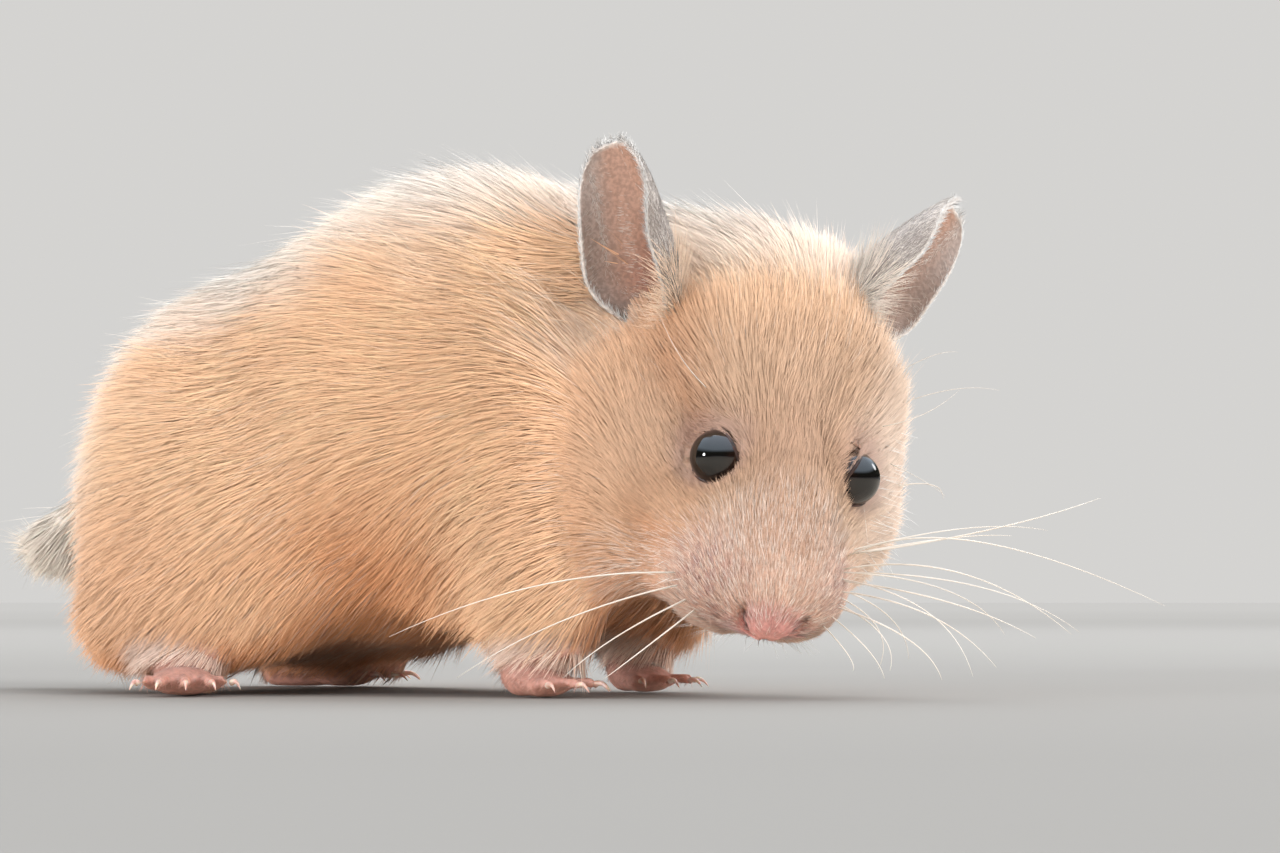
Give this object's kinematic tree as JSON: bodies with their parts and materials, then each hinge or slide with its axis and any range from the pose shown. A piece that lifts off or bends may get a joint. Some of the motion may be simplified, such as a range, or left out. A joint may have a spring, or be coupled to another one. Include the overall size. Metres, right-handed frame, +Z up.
{
  "type": "syrian hamster",
  "caption": "Cream Syrian hamster, a stocky short-tailed rodent with upright ears and black eyes, standing on all fours with its head low and turned to its right.",
  "frame": {"origin": "middle of the bounding box at floor level", "axes": "+X the way the trunk faces and the longest extent, +Y the animal's left, +Z up"},
  "size_m": [0.1308, 0.0584, 0.0569],
  "materials": {
    "fur": "soft cream to apricot fur",
    "pale_fur": "soft off-white fur",
    "ear": "thin grey-pink skin with a pale downy rim",
    "eye": "wet black",
    "foot": "bare pink skin with small pale claws",
    "whisker": "pale stiff hair"
  },
  "bodies": {
    "root": {"head": "fur", "neck": "fur", "trunk": "fur", "foreleg_right": "fur", "foreleg_left": "fur", "hindleg_right": "fur", "hindleg_left": "fur", "tail": "pale_fur", "ear_right": "ear", "ear_left": "ear", "eye_right": "eye", "eye_left": "eye", "forefoot_right": "foot", "forefoot_left": "foot", "hindfoot_right": "foot", "hindfoot_left": "foot", "whisker_right_1": "whisker", "whisker_right_2": "whisker", "whisker_right_3": "whisker", "whisker_right_4": "whisker", "whisker_left_1": "whisker", "whisker_left_2": "whisker", "whisker_left_3": "whisker", "whisker_left_4": "whisker", "whisker_left_5": "whisker", "whisker_left_6": "whisker"}
  },
  "joints": []
}
